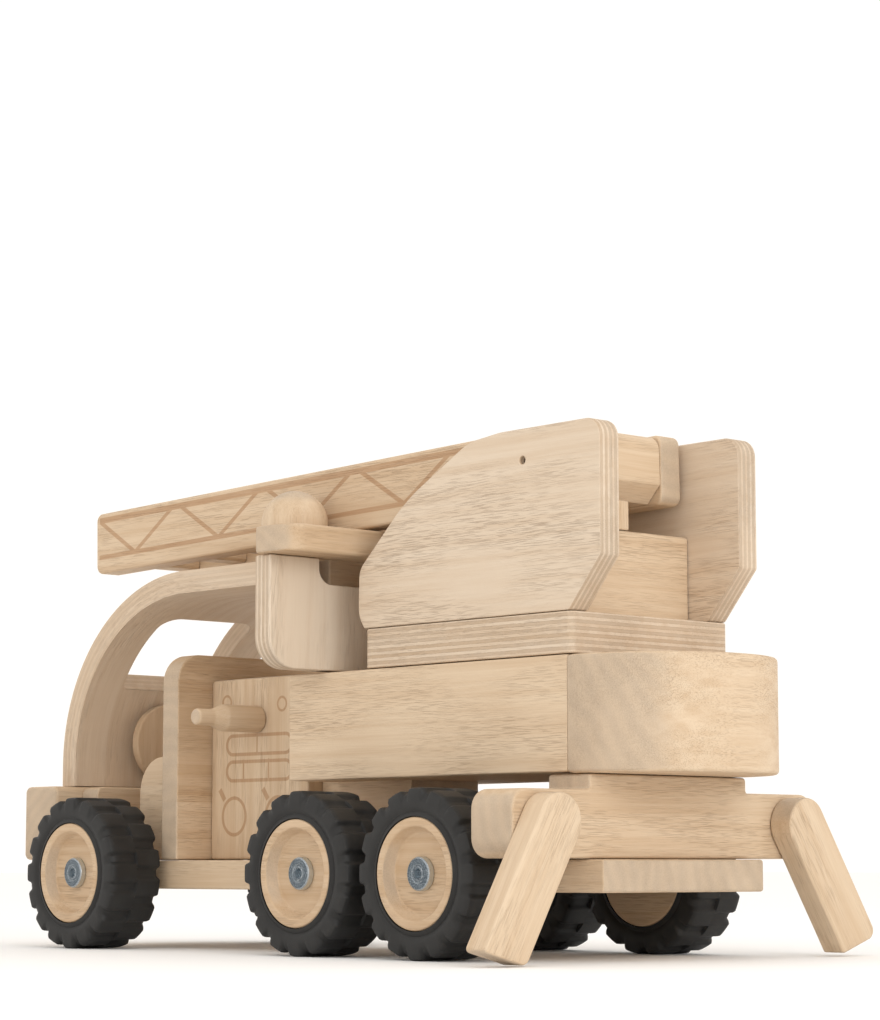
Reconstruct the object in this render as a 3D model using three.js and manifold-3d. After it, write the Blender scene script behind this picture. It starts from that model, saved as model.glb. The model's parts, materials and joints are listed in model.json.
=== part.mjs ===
// Wooden toy fire engine: six rubber-tyred wheels, bent plywood cab arch, turntable with
// two plywood cheeks carrying a long ladder, an operator's platform and two folding legs.
// Millimetres, +X towards the cab, +Y to the left, +Z up, origin on the floor mid-way
// along the whole length.
import * as THREE from 'three';
import { mergeVertices } from 'three/addons/utils/BufferGeometryUtils.js';
import Module from 'manifold-3d';

const wasm = await Module();
wasm.setup();

// ---- driving dimensions -----------------------------------------------------------
const MID_AXLE_X = -24; // middle axle, measured from the origin
const FRONT_AXLE = 165.5; // the other stations are measured from the middle axle
const REAR_AXLE = -76;
const AXLE_Z = 35;
const TYRE_R = 35;
const TYRE_BORE = 23.3;
const TYRE_GROOVE = 2.6;
const TYRE_LUGS = 16;
const WHEEL_IN = 52.2; // inner and outer wheel faces, from the centre plane
const WHEEL_OUT = 80.5;
const HUB_R = 23.05;
const HUB_RECESS_R = 18.3;
const HUB_RECESS = 5.2;
const BOLT_R = 2.9;
const BOLT_HEAD_R = 7;
const BOLT_HEAD_H = 2.7;
const BOLT_TIP = 24;

const PLANK = { x0: -151.2, x1: 230, w: 47.5, z0: 27.6, z1: 40.8 };
const BUMPER = { x0: 206, x1: 232.5, w: 60, z0: 41.1, z1: 76.5 };
const BULKHEAD = { x0: 192.8, x1: 205.7, w: 45, z1: 76.2 };
const SEAT = { x0: 137, x1: 165.5, w: 40, z1: 89.5, r: 17 };
const WALL = { x0: 124.9, x1: 136.8, w: 48.4, z1: 136.8, r: 13 };
const BLOCK = { x0: 53.5, x1: 124.6, w: 28.6, z1: 124.9 };

const ARCH_CX = 123; // centre of the elliptical sweep of the cab arch
const ARCH_CZ = 88;
const ARCH_A = 95.4;
const ARCH_B = 87.7;
const ARCH_T = 10.6;
const ARCH_W = 47.6;
const ROOF_END = 62;
const ARCH_FOOT = 76.8;
const WINDOW_W = 27.5;
const WINDOW_H = 49;
const WINDOW_R = [3, 3, 9, 9]; // its lower corners, then its upper ones
const WINDOW_TILT = 47.5; // degrees above the horizontal along which the window is cut

const DECK = { x0: -132.4, x1: 43, w: 48.5, t: 12, z0: 75.6, z1: 122.6 };
const REAR_BLOCK = { x0: -184.5, x1: -132.7, round: 2.2 }; // round: exponent of its bowed rear
const KEEL = { x0: -7, x1: 53.2, w: 20 };
const PLATE = { x0: -133.5, x1: -6.5, w: 47, z0: 123.2, z1: 140.3 };
const PIVOT_X = -70;
const CHEEK_T = 11;
const CHEEK_OUT = 47;
const LADDER_PIVOT = { x: -105.4, z: 204.2 };
const PIN_R = 1.5;

const LADDER_TILT = 1.5; // degrees nose down when it rests on the guard board
const RAIL = { x0: -14.6, x1: 319, z0: -14.2, z1: 15.8, out: 33, t: 12 };
const RUNG_PITCH = 38;
const RUNG_COUNT = 7;
const RUNG_L = 13;
const RUNG_RISE = 4.8; // above the rails' lower edges

const GUARD = { x0: 1, x1: 25, w: 84, z0: 173.2, z1: 185.2, r: 11 };
const PANEL = { x0: 18, x1: 28.6, w: 80, z0: 123.6, z1: 172.9, r: 14 };
const HORN_W = 28; // width of each horn of the U-shaped panel
const NOTCH_Z = 161.6;
const PERSON = { x: 39.6, y: 48.6, r: 9, z0: 140.6, headR: 15, headZ: 190.2 };
const PERCH_Z = 174.6; // top of the block under the ladder, behind the panel

const BEAM = { x0: -143, x1: -119.2, w: 89.5, z0: 41.1, z1: 68.3, r: 8 };
const STEM = { w: 46.6, z1: 74.7 };
const FOOT_CUT = 15; // degrees between the foot and the leg's square end
const FOOT_R = 4; // round corner on the foot's right; its left corner is crisp
const FOOT_EASE = 1.2;
const DOWEL_DEPTH = 8; // how far each leg dowel reaches into its leg
const LEG = { z: 55.4, w: 22.6, t: 11.5, len: 60.5 };
const LEGS = [ // side, name, place of the dowel, outward lean in degrees
  [1, 'left', 74, 30],
  [-1, 'right', -72, 33.5],
];

// ---- finishes ---------------------------------------------------------------------
const wood = () => new THREE.MeshStandardMaterial({ color: 0xdcc29a, roughness: 0.62 });
const ply = () => new THREE.MeshStandardMaterial({ color: 0xe0cfae, roughness: 0.6 });
const rubber = () => new THREE.MeshStandardMaterial({ color: 0x26272a, roughness: 0.8 });
const zinc = () => new THREE.MeshStandardMaterial({ color: 0xb9c0c8, roughness: 0.3, metalness: 0.9 });

// ---- helpers ----------------------------------------------------------------------
const group = new THREE.Group();
group.name = 'fire_engine';
const truck = new THREE.Group();
truck.name = 'truck';
truck.position.x = MID_AXLE_X;
group.add(truck);

function put(parent, name, geometry, material) {
  const mesh = new THREE.Mesh(geometry, material);
  mesh.name = name;
  parent.add(mesh);
  return mesh;
}

// Basis that lays a drawn (u, v) outline with its depth along the given axis.
function basis(axis) {
  const m = new THREE.Matrix4();
  if (axis === 'x') {
    m.makeBasis(new THREE.Vector3(0, 1, 0), new THREE.Vector3(0, 0, 1), new THREE.Vector3(1, 0, 0));
  }
  if (axis === 'y') {
    m.makeBasis(new THREE.Vector3(-1, 0, 0), new THREE.Vector3(0, 0, 1), new THREE.Vector3(0, 1, 0));
  }
  return m;
}

// Outline extruded from lo to hi along an axis, its end edges eased by a small bevel.
// For axis y the outline is drawn in (-x, z), for x in (y, z), for z in (x, y).
function extrude(shape, axis, lo, hi, ease = 0, curve = 6) {
  const geometry = new THREE.ExtrudeGeometry(shape, {
    depth: hi - lo - 2 * ease,
    bevelEnabled: ease > 0,
    bevelThickness: ease,
    bevelSize: ease,
    bevelOffset: -ease,
    bevelSegments: 1,
    curveSegments: curve,
  });
  geometry.translate(0, 0, lo + ease);
  geometry.applyMatrix4(basis(axis));
  return geometry;
}

// Rectangle with rounded corners; radii in the order low-low, high-low, high-high, low-high.
function rounded(u0, u1, v0, v1, r) {
  const [a, b, c, d] = Array.isArray(r) ? r : [r, r, r, r];
  const s = new THREE.Shape();
  s.moveTo(u0 + a, v0);
  s.lineTo(u1 - b, v0);
  if (b) s.absarc(u1 - b, v0 + b, b, -Math.PI / 2, 0);
  s.lineTo(u1, v1 - c);
  if (c) s.absarc(u1 - c, v1 - c, c, 0, Math.PI / 2);
  s.lineTo(u0 + d, v1);
  if (d) s.absarc(u0 + d, v1 - d, d, Math.PI / 2, Math.PI);
  s.lineTo(u0, v0 + a);
  if (a) s.absarc(u0 + a, v0 + a, a, Math.PI, 1.5 * Math.PI);
  return s;
}

function circleHole(u, v, r) {
  const path = new THREE.Path();
  path.absarc(u, v, r, 0, 2 * Math.PI, true);
  return path;
}

function solid(geometry) {
  const bare = new THREE.BufferGeometry();
  bare.setAttribute('position', geometry.getAttribute('position').clone());
  if (geometry.index) bare.setIndex(geometry.index.clone());
  const joined = mergeVertices(bare, 1e-4);
  return new wasm.Manifold(new wasm.Mesh({
    numProp: 3,
    vertProperties: new Float32Array(joined.getAttribute('position').array),
    triVerts: new Uint32Array(joined.index.array),
  }));
}

function toGeometry(manifold) {
  const mesh = manifold.getMesh();
  const geometry = new THREE.BufferGeometry();
  geometry.setAttribute('position', new THREE.BufferAttribute(new Float32Array(mesh.vertProperties), 3));
  geometry.setIndex(Array.from(mesh.triVerts));
  const flat = geometry.toNonIndexed();
  flat.computeVertexNormals();
  return flat;
}

function cut(geometry, ...tools) {
  let body = solid(geometry);
  for (const tool of tools) {
    body = body.subtract(solid(tool));
  }
  return toGeometry(body);
}

// Turned piece: profile of [radius, height] pairs, its axis laid along +Y.
function turned(points, segments = 28) {
  const profile = points.map(([r, h]) => new THREE.Vector2(r, h));
  return new THREE.LatheGeometry(profile, segments);
}

function rod(r, y0, y1, segments = 20) {
  const geometry = new THREE.CylinderGeometry(r, r, y1 - y0, segments);
  geometry.translate(0, (y0 + y1) / 2, 0);
  return geometry;
}

// ---- chassis ----------------------------------------------------------------------
const plankShape = rounded(-PLANK.x1, -PLANK.x0, PLANK.z0, PLANK.z1, 1);
for (const x of [FRONT_AXLE, 0, REAR_AXLE]) {
  plankShape.holes.push(circleHole(-x, AXLE_Z, BOLT_R + 0.2));
}
put(truck, 'chassis_plank', extrude(plankShape, 'y', -PLANK.w, PLANK.w, 0, 5), wood());

const bumperShape = rounded(-BUMPER.x1, -BUMPER.x0, BUMPER.z0, BUMPER.z1, 3);
put(truck, 'front_bumper', extrude(bumperShape, 'y', -BUMPER.w, BUMPER.w, 2, 3), wood());

const bulkheadShape = rounded(-BULKHEAD.w, BULKHEAD.w, 41.1, BULKHEAD.z1, [1.8, 1.8, 4, 4]);
put(truck, 'cab_bulkhead', extrude(bulkheadShape, 'x', BULKHEAD.x0, BULKHEAD.x1, 1, 4), wood());

const seatShape = rounded(-SEAT.x1, -SEAT.x0, 41.1, SEAT.z1, [1.8, 1.8, 2, SEAT.r]);
put(truck, 'cab_seat', extrude(seatShape, 'y', -SEAT.w, SEAT.w, 1, 8), wood());

const wallShape = rounded(-WALL.w, WALL.w, 41.1, WALL.z1, [1.8, 1.8, WALL.r, WALL.r]);
put(truck, 'cab_wall', extrude(wallShape, 'x', WALL.x0, WALL.x1, 1, 6), wood());

const blockShape = rounded(-BLOCK.x1, -BLOCK.x0, 41.1, BLOCK.z1, 2);
const nozzleBore = rod(3.2, 9, 40, 16);
nozzleBore.translate(89.7, 0, 105.4);
put(truck, 'equipment_block', cut(extrude(blockShape, 'y', -BLOCK.w, BLOCK.w, 1, 2), nozzleBore), wood());

// Hose nozzle: a turned peg whose spigot slides in the side of the equipment block.
const nozzle = put(truck, 'hose_nozzle', turned([
  [0, -17], [3, -17], [3, 0.3], [6.2, 0.3], [6.2, 21], [3.8, 27], [3.8, 34.5], [2.4, 37], [0, 37],
], 20), wood());
nozzle.position.set(89.7, BLOCK.w, 105.4);

// ---- cab --------------------------------------------------------------------------
function archShape() {
  const s = new THREE.Shape();
  const steps = 16;
  s.moveTo(-(ARCH_CX + ARCH_A), ARCH_FOOT);
  for (let i = 0; i <= steps; i += 1) {
    const t = (i / steps) * Math.PI / 2;
    s.lineTo(-(ARCH_CX + ARCH_A * Math.cos(t)), ARCH_CZ + ARCH_B * Math.sin(t));
  }
  s.lineTo(-ROOF_END, ARCH_CZ + ARCH_B);
  s.lineTo(-ROOF_END, ARCH_CZ + ARCH_B - ARCH_T);
  for (let i = steps; i >= 0; i -= 1) {
    const t = (i / steps) * Math.PI / 2;
    s.lineTo(-(ARCH_CX + (ARCH_A - ARCH_T) * Math.cos(t)), ARCH_CZ + (ARCH_B - ARCH_T) * Math.sin(t));
  }
  s.lineTo(-(ARCH_CX + ARCH_A - ARCH_T), ARCH_FOOT);
  return s;
}
const windowCutter = extrude(rounded(-WINDOW_W, WINDOW_W, -WINDOW_H / 2, WINDOW_H / 2, WINDOW_R), 'x', -40, 40, 0, 5);
windowCutter.rotateY(-WINDOW_TILT * Math.PI / 180);
windowCutter.translate(183, 0, 144.5);
const columnBore = rod(3.3, -5.5, 6, 16);
const wheelAxis = new THREE.Vector3(207.6, 0, 98.5);
columnBore.rotateZ(-Math.PI / 2);
columnBore.translate(wheelAxis.x, wheelAxis.y, wheelAxis.z);
const arch = cut(extrude(archShape(), 'y', -ARCH_W, ARCH_W), windowCutter, columnBore);
put(truck, 'cab_arch', arch, ply());

// Steering disc on a short column that turns in a bore of the arch.
const steering = put(truck, 'steering_disc', turned([
  [0, -11.8], [18.2, -11.8], [19.2, -10.8], [19.2, -7.8], [18.2, -6.8], [3, -6.8], [3, 4.5], [0, 4.5],
], 28), wood());
steering.position.copy(wheelAxis);
steering.rotation.z = -Math.PI / 2;

// ---- deck -------------------------------------------------------------------------
for (const [side, name] of [[1, 'deck_side_left'], [-1, 'deck_side_right']]) {
  const outer = side * DECK.w;
  const inner = side * (DECK.w - DECK.t);
  const shape = rounded(-DECK.x1, -DECK.x0, DECK.z0, DECK.z1, 1.6);
  put(truck, name, extrude(shape, 'y', Math.min(outer, inner), Math.max(outer, inner), 0.8, 2), wood());
}
const coreW = DECK.w - DECK.t - 0.3;
const coreShape = new THREE.Shape();
coreShape.moveTo(-coreW, DECK.z0);
coreShape.lineTo(-KEEL.w, DECK.z0);
coreShape.lineTo(-KEEL.w, 41.1);
coreShape.lineTo(KEEL.w, 41.1);
coreShape.lineTo(KEEL.w, DECK.z0);
coreShape.lineTo(coreW, DECK.z0);
coreShape.lineTo(coreW, DECK.z1);
coreShape.lineTo(-coreW, DECK.z1);
// The keel stops behind the middle wheels; in front it alone reaches the equipment block.
const keelEnd = extrude(rounded(-60, 60, 20, DECK.z0, 0), 'x', -200, KEEL.x0);
const cheekRooms = [[-60, -KEEL.w], [KEEL.w, 60]].map(
  ([lo, hi]) => extrude(rounded(lo, hi, 20, 140, 0), 'x', DECK.x1 - 0.3, 60),
);
const pivotBore = new THREE.CylinderGeometry(4.2, 4.2, 40, 20);
pivotBore.rotateX(Math.PI / 2);
pivotBore.translate(PIVOT_X, 0, 110);
put(truck, 'deck_core', cut(
  extrude(coreShape, 'x', DECK.x0, KEEL.x1),
  keelEnd,
  ...cheekRooms,
  pivotBore,
), wood());

// Rear block: its plan bows out from side to side like half of a superellipse.
const rearShape = new THREE.Shape();
rearShape.moveTo(REAR_BLOCK.x1, DECK.w);
const bowSteps = 28;
for (let i = 1; i <= bowSteps; i += 1) {
  const t = (i / bowSteps) * Math.PI;
  const across = Math.sign(Math.cos(t)) * Math.abs(Math.cos(t)) ** (2 / REAR_BLOCK.round);
  const back = Math.sin(t) ** (2 / REAR_BLOCK.round);
  rearShape.lineTo(REAR_BLOCK.x1 + (REAR_BLOCK.x0 - REAR_BLOCK.x1) * back, DECK.w * across);
}
put(truck, 'deck_rear_block', extrude(rearShape, 'z', DECK.z0 - 0.6, DECK.z1, 1.2, 8), wood());

// ---- rear stabiliser --------------------------------------------------------------
const beamShape = new THREE.Shape();
const beamR = BEAM.r;
beamShape.moveTo(-BEAM.w + beamR, BEAM.z0);
beamShape.lineTo(BEAM.w - beamR, BEAM.z0);
beamShape.absarc(BEAM.w - beamR, BEAM.z0 + beamR, beamR, -Math.PI / 2, 0);
beamShape.absarc(BEAM.w - beamR, BEAM.z1 - beamR, beamR, 0, Math.PI / 2);
beamShape.lineTo(STEM.w, BEAM.z1);
beamShape.lineTo(STEM.w, STEM.z1);
beamShape.lineTo(-STEM.w, STEM.z1);
beamShape.lineTo(-STEM.w, BEAM.z1);
beamShape.absarc(-BEAM.w + beamR, BEAM.z1 - beamR, beamR, Math.PI / 2, Math.PI);
beamShape.absarc(-BEAM.w + beamR, BEAM.z0 + beamR, beamR, Math.PI, 1.5 * Math.PI);
for (const [, , y] of LEGS) {
  beamShape.holes.push(circleHole(y, LEG.z, 3.1));
}
put(truck, 'stabiliser_beam', extrude(beamShape, 'x', BEAM.x0, BEAM.x1, 0, 5), wood());

// Each leg hangs from a dowel through the beam. Both are the same piece, turned outwards, and
// their feet are cut so that they rise a little towards the outside.
for (const [side, tag, y, leanDegrees] of LEGS) {
  const half = LEG.w / 2;
  const rise = -side * half * Math.tan(FOOT_CUT * Math.PI / 180);
  const leg = new THREE.Shape();
  leg.absarc(0, 0, half, 0, Math.PI);
  for (const [edge, height, radius] of [[-half, -LEG.len - rise, FOOT_R], [half, -LEG.len + rise, FOOT_EASE]]) {
    const drop = radius * rise / half;
    const inward = -Math.sign(edge);
    const sides = [[edge, height + radius], [edge + inward * radius, height + inward * drop]];
    const [start, end] = edge < 0 ? sides : sides.reverse();
    leg.lineTo(...start);
    leg.quadraticCurveTo(edge, height, ...end);
  }
  const bore = rod(3.1, -DOWEL_DEPTH - 0.3, 1, 16);
  bore.rotateZ(-Math.PI / 2);
  const mesh = put(truck, `leg_${tag}`, cut(extrude(leg, 'x', -LEG.t - 0.3, -0.3, 0, 8), bore), wood());
  mesh.position.set(BEAM.x0, y, LEG.z);
  mesh.rotation.x = side * leanDegrees * Math.PI / 180;
  const dowel = rod(2.8, BEAM.x0 - DOWEL_DEPTH, BEAM.x1, 16);
  dowel.rotateZ(-Math.PI / 2);
  const dowelMesh = put(truck, `leg_dowel_${tag}`, dowel, wood());
  dowelMesh.position.set(0, y, LEG.z);
}

// ---- turntable --------------------------------------------------------------------
const plateShape = rounded(PLATE.x0, PLATE.x1, -PLATE.w, PLATE.w, 2);
plateShape.holes.push(circleHole(PIVOT_X, 0, 4.2));
put(truck, 'turntable_plate', extrude(plateShape, 'z', PLATE.z0, PLATE.z1, 0, 8), ply());
const kingPin = turned([[0, 92], [3.9, 92], [3.9, PLATE.z1 - 0.3], [0, PLATE.z1 - 0.3]], 20);
kingPin.rotateX(Math.PI / 2);
kingPin.translate(PIVOT_X, 0, 0);
put(truck, 'turntable_pin', kingPin, wood());

function cheekShape() {
  const s = new THREE.Shape();
  s.moveTo(6, 140.6);
  s.lineTo(132, 140.6);
  s.lineTo(150.3, 162);
  s.absarc(142.3, 209.6, 8, 0, Math.PI / 2);
  s.lineTo(92, 217.3);
  s.quadraticCurveTo(79, 217.3, 73, 215.2);
  s.quadraticCurveTo(33, 200, 5.5, 169.5);
  s.quadraticCurveTo(2.2, 165, 2.2, 158);
  s.quadraticCurveTo(2.2, 146, 6, 140.6);
  s.holes.push(circleHole(-LADDER_PIVOT.x, LADDER_PIVOT.z, PIN_R + 0.15));
  return s;
}
for (const [side, name] of [[1, 'cheek_left'], [-1, 'cheek_right']]) {
  const outer = side * CHEEK_OUT;
  const inner = side * (CHEEK_OUT - CHEEK_T);
  put(truck, name, extrude(cheekShape(), 'y', Math.min(outer, inner), Math.max(outer, inner), 0, 5), ply());
}
const turretShape = rounded(30, 121.4, 140.6, 177, 1);
put(truck, 'turret_block', extrude(turretShape, 'y', -35.7, 35.7, 0, 2), wood());
const stopShape = rounded(113.5, 121, 177.3, 189.8, 0.8);
put(truck, 'ladder_stop', extrude(stopShape, 'y', 0, 19.5, 0, 2), wood());

// ---- operator's platform, fixed to the front of the turntable ------------------------
const armShape = rounded(-17.7, 29.7, 141.2, 160.8, 1);
put(truck, 'platform_arm', extrude(armShape, 'y', -18, 18, 0, 2), wood());

const panelShape = new THREE.Shape();
const hornIn = PANEL.w - HORN_W;
panelShape.moveTo(-PANEL.w + PANEL.r, PANEL.z0);
panelShape.lineTo(PANEL.w - PANEL.r, PANEL.z0);
panelShape.absarc(PANEL.w - PANEL.r, PANEL.z0 + PANEL.r, PANEL.r, -Math.PI / 2, 0);
panelShape.lineTo(PANEL.w, PANEL.z1);
panelShape.lineTo(hornIn, PANEL.z1);
panelShape.lineTo(hornIn, NOTCH_Z + 7);
panelShape.absarc(hornIn - 7, NOTCH_Z + 7, 7, 0, -Math.PI / 2, true);
panelShape.lineTo(-hornIn + 7, NOTCH_Z);
panelShape.absarc(-hornIn + 7, NOTCH_Z + 7, 7, -Math.PI / 2, -Math.PI, true);
panelShape.lineTo(-hornIn, PANEL.z1);
panelShape.lineTo(-PANEL.w, PANEL.z1);
panelShape.lineTo(-PANEL.w, PANEL.z0 + PANEL.r);
panelShape.absarc(-PANEL.w + PANEL.r, PANEL.z0 + PANEL.r, PANEL.r, Math.PI, 1.5 * Math.PI);
put(truck, 'platform_panel', extrude(panelShape, 'x', PANEL.x0, PANEL.x1, 0, 6), ply());

const guardShape = rounded(GUARD.x0, GUARD.x1, -GUARD.w, GUARD.w, [GUARD.r, 3, 3, GUARD.r]);
put(truck, 'guard_board', extrude(guardShape, 'z', GUARD.z0, GUARD.z1, 1, 6), wood());

const restShape = rounded(-48, -28.9, 126, PERCH_Z, 1.6);
put(truck, 'platform_block', extrude(restShape, 'y', -37.2, 37.2, 0.8, 2), wood());

for (const [side, tag] of [[1, 'left'], [-1, 'right']]) {
  const floorIn = side * 37.5;
  const floorOut = side * 58;
  const shape = rounded(28.9, 51, Math.min(floorIn, floorOut), Math.max(floorIn, floorOut), 1);
  put(truck, `platform_floor_${tag}`, extrude(shape, 'z', 134, 140.3, 0, 2), wood());
}

// Peg firefighter: straight body, rounded shoulders and a ball head, turned in one piece.
const neck = Math.asin(6 / PERSON.headR);
const figure = [[0, 0], [PERSON.r - 0.8, 0], [PERSON.r, 0.8], [PERSON.r, 30], [7.5, 33.4]];
for (let i = 0; i <= 9; i += 1) {
  const t = neck + (i / 9) * (Math.PI - neck);
  const height = PERSON.headZ - PERSON.z0 - PERSON.headR * Math.cos(t);
  figure.push([i === 9 ? 0 : PERSON.headR * Math.sin(t), height]);
}
const person = put(truck, 'firefighter', turned(figure, 24), wood());
person.position.set(PERSON.x, PERSON.y, PERSON.z0);
person.rotation.x = Math.PI / 2;

// ---- ladder, drawn about its pivot ------------------------------------------------
const ladder = new THREE.Group();
ladder.name = 'ladder';
ladder.position.set(LADDER_PIVOT.x, 0, LADDER_PIVOT.z);
ladder.rotation.y = LADDER_TILT * Math.PI / 180;
truck.add(ladder);

for (const [side, name] of [[1, 'rail_left'], [-1, 'rail_right']]) {
  const shape = rounded(-RAIL.x1, -RAIL.x0, RAIL.z0, RAIL.z1, 4);
  shape.holes.push(circleHole(0, 0, PIN_R + 0.15));
  const outer = side * RAIL.out;
  const inner = side * (RAIL.out - RAIL.t);
  put(ladder, name, extrude(shape, 'y', Math.min(outer, inner), Math.max(outer, inner), 0, 4), wood());
}
const rungW = RAIL.out - RAIL.t - 0.2;
for (let i = 0; i < RUNG_COUNT; i += 1) {
  const front = RAIL.x1 - 1 - i * RUNG_PITCH;
  const low = RAIL.z0 + RUNG_RISE;
  const shape = rounded(-front, -front + RUNG_L, low, low + 10.4, 2);
  put(ladder, `rung_${i + 1}`, extrude(shape, 'y', -rungW, rungW, 0, 2), wood());
}
const crossShape = new THREE.Shape();
crossShape.moveTo(-14, -13.6);
crossShape.lineTo(6.8, -13.6);
crossShape.lineTo(14.4, -6);
crossShape.lineTo(14.4, 9);
crossShape.absarc(8.4, 9, 6, 0, Math.PI / 2);
crossShape.lineTo(-14, 15);
crossShape.holes.push(circleHole(0, 0, PIN_R + 0.15));
put(ladder, 'ladder_tail_block', extrude(crossShape, 'y', -rungW, rungW, 0, 5), wood());

const pin = put(truck, 'ladder_pin', rod(PIN_R, -44, 44, 14), zinc());
pin.position.set(LADDER_PIVOT.x, 0, LADDER_PIVOT.z);

// ---- wheels -----------------------------------------------------------------------
// Tyre: closed ring of cross-sections; two rows of lugs, half a pitch apart.
function tyreGeometry() {
  const w = (WHEEL_OUT - WHEEL_IN) / 2;
  const low = TYRE_R - TYRE_GROOVE;
  const section = (a, b) => [
    [-w, TYRE_BORE], [w, TYRE_BORE], [w, 30],
    [w - 2.6, a ? TYRE_R : low], [0.4, a ? TYRE_R : low],
    [-0.4, b ? TYRE_R : low], [-w + 2.6, b ? TYRE_R : low], [-w, 30],
  ];
  const rings = TYRE_LUGS * 4;
  const positions = [];
  for (let i = 0; i < rings; i += 1) {
    const angle = (i / rings) * 2 * Math.PI;
    const phase = i % 4;
    for (const [y, r] of section(phase < 2, phase >= 2)) {
      positions.push(r * Math.sin(angle), y, r * Math.cos(angle));
    }
  }
  const n = 8;
  const index = [];
  for (let i = 0; i < rings; i += 1) {
    const j = (i + 1) % rings;
    for (let k = 0; k < n; k += 1) {
      const l = (k + 1) % n;
      index.push(i * n + k, i * n + l, j * n + k);
      index.push(i * n + l, j * n + l, j * n + k);
    }
  }
  const geometry = new THREE.BufferGeometry();
  geometry.setAttribute('position', new THREE.Float32BufferAttribute(positions, 3));
  geometry.setIndex(index);
  const flat = geometry.toNonIndexed();
  flat.computeVertexNormals();
  return flat;
}

const hubHalf = (WHEEL_OUT - WHEEL_IN) / 2;
const hubProfile = [
  [BOLT_R + 0.25, -hubHalf], [HUB_R - 0.6, -hubHalf], [HUB_R, -hubHalf + 0.6],
  [HUB_R, hubHalf - 0.6], [HUB_R - 0.6, hubHalf], [HUB_RECESS_R + 0.6, hubHalf],
  [HUB_RECESS_R, hubHalf - 0.6], [HUB_RECESS_R - 1.4, hubHalf - HUB_RECESS],
  [BOLT_R + 0.25, hubHalf - HUB_RECESS], [BOLT_R + 0.25, -hubHalf],
];
const floorY = WHEEL_OUT - HUB_RECESS + 0.3;
const boltProfile = [
  [0, BOLT_TIP], [BOLT_R, BOLT_TIP], [BOLT_R, floorY], [BOLT_HEAD_R, floorY],
  [BOLT_HEAD_R, floorY + BOLT_HEAD_H - 0.6], [BOLT_HEAD_R - 0.6, floorY + BOLT_HEAD_H],
  [0, floorY + BOLT_HEAD_H],
];
const socket = new THREE.CylinderGeometry(2.3, 2.3, 4, 6);
socket.translate(0, floorY + BOLT_HEAD_H, 0);

const stations = [[FRONT_AXLE, 'front'], [0, 'mid'], [REAR_AXLE, 'rear']];
for (const [x, station] of stations) {
  for (const [side, tag] of [[1, 'left'], [-1, 'right']]) {
    const wheel = new THREE.Group();
    wheel.name = `wheel_${station}_${tag}`;
    wheel.position.set(x, 0, AXLE_Z);
    if (side < 0) wheel.rotation.z = Math.PI;
    truck.add(wheel);
    const middle = (WHEEL_IN + WHEEL_OUT) / 2;
    put(wheel, `tyre_${station}_${tag}`, tyreGeometry(), rubber()).position.y = middle;
    put(wheel, `hub_${station}_${tag}`, turned(hubProfile, 24), wood()).position.y = middle;
    put(wheel, `bolt_${station}_${tag}`, cut(turned(boltProfile, 16), socket), zinc());
  }
}

export default group;
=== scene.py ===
"""Looks of a wooden toy fire engine: boards, plywood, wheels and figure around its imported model."""

import json
import math

import bmesh
import bpy
import numpy as np
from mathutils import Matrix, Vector
from mathutils.geometry import tessellate_polygon


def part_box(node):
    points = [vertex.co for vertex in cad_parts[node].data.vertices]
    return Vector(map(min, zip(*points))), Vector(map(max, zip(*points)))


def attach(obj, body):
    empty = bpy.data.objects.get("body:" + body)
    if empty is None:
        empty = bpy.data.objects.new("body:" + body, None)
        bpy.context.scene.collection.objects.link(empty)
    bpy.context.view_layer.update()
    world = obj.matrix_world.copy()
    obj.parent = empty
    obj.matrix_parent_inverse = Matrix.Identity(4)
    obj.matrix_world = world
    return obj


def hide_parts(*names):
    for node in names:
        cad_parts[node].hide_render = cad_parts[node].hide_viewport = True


bl_info = {
    "name": "Wooden Toy Fire Engine",
    "version": (1, 0, 0),
    "blender": (4, 5, 0),
    "location": "3D View > Sidebar > Fire Engine",
    "description": "Boards, bent plywood, rubber tyres and a peg figure "
                   "built around the packed fire engine",
    "category": "Object",
}

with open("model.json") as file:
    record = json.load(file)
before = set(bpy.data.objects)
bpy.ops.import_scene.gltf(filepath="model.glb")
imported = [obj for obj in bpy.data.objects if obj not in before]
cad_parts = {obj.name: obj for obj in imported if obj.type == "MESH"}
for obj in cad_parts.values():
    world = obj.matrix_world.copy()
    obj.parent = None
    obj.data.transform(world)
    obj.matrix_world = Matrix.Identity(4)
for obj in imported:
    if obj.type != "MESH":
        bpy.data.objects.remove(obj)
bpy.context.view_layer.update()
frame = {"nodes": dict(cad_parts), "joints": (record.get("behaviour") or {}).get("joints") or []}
JOINTS = {joint["name"]: joint for joint in frame["joints"]}
MID_AXLE = JOINTS["spin_mid_left"]["pos_m"][0]
MM = 0.001
RING_PITCH = 0.0075  # metres from one growth ring to the next
TAU = 2 * math.pi
SIDES = {"left": 1, "right": -1}


# ---- settings ---------------------------------------------------------------------------

def length(name, text, default):
    """A size in metres that the panel shows in scene units."""
    return bpy.props.FloatProperty(name=name, description=text, default=default, unit="LENGTH",
                                   precision=5)


def tint(name, text, default):
    """A linear colour."""
    return bpy.props.FloatVectorProperty(name=name, description=text, default=default,
                                         subtype="COLOR", size=3, min=0, max=1)


class FireEngineSizes(bpy.types.PropertyGroup):
    """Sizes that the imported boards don't state."""

    ease: length("Board easing", "Rounding of a sanded board's edges", 0.9 * MM)
    ply_ease: length("Plywood easing", "Rounding of the plywood's edges", 0.6 * MM)
    groove: length("Tread depth", "Depth of the pockets between the tyre's lugs", 1.4 * MM)
    lugs: bpy.props.IntProperty(name="Lugs", description="Lugs in one row of a tyre", default=16)
    head_dish: length("Bolt recess", "Depth of the hexagon socket in a wheel bolt", 1.9 * MM)
    layer: length("Ply thickness", "Thickness of one layer of the plywood", 1.36 * MM)


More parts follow.
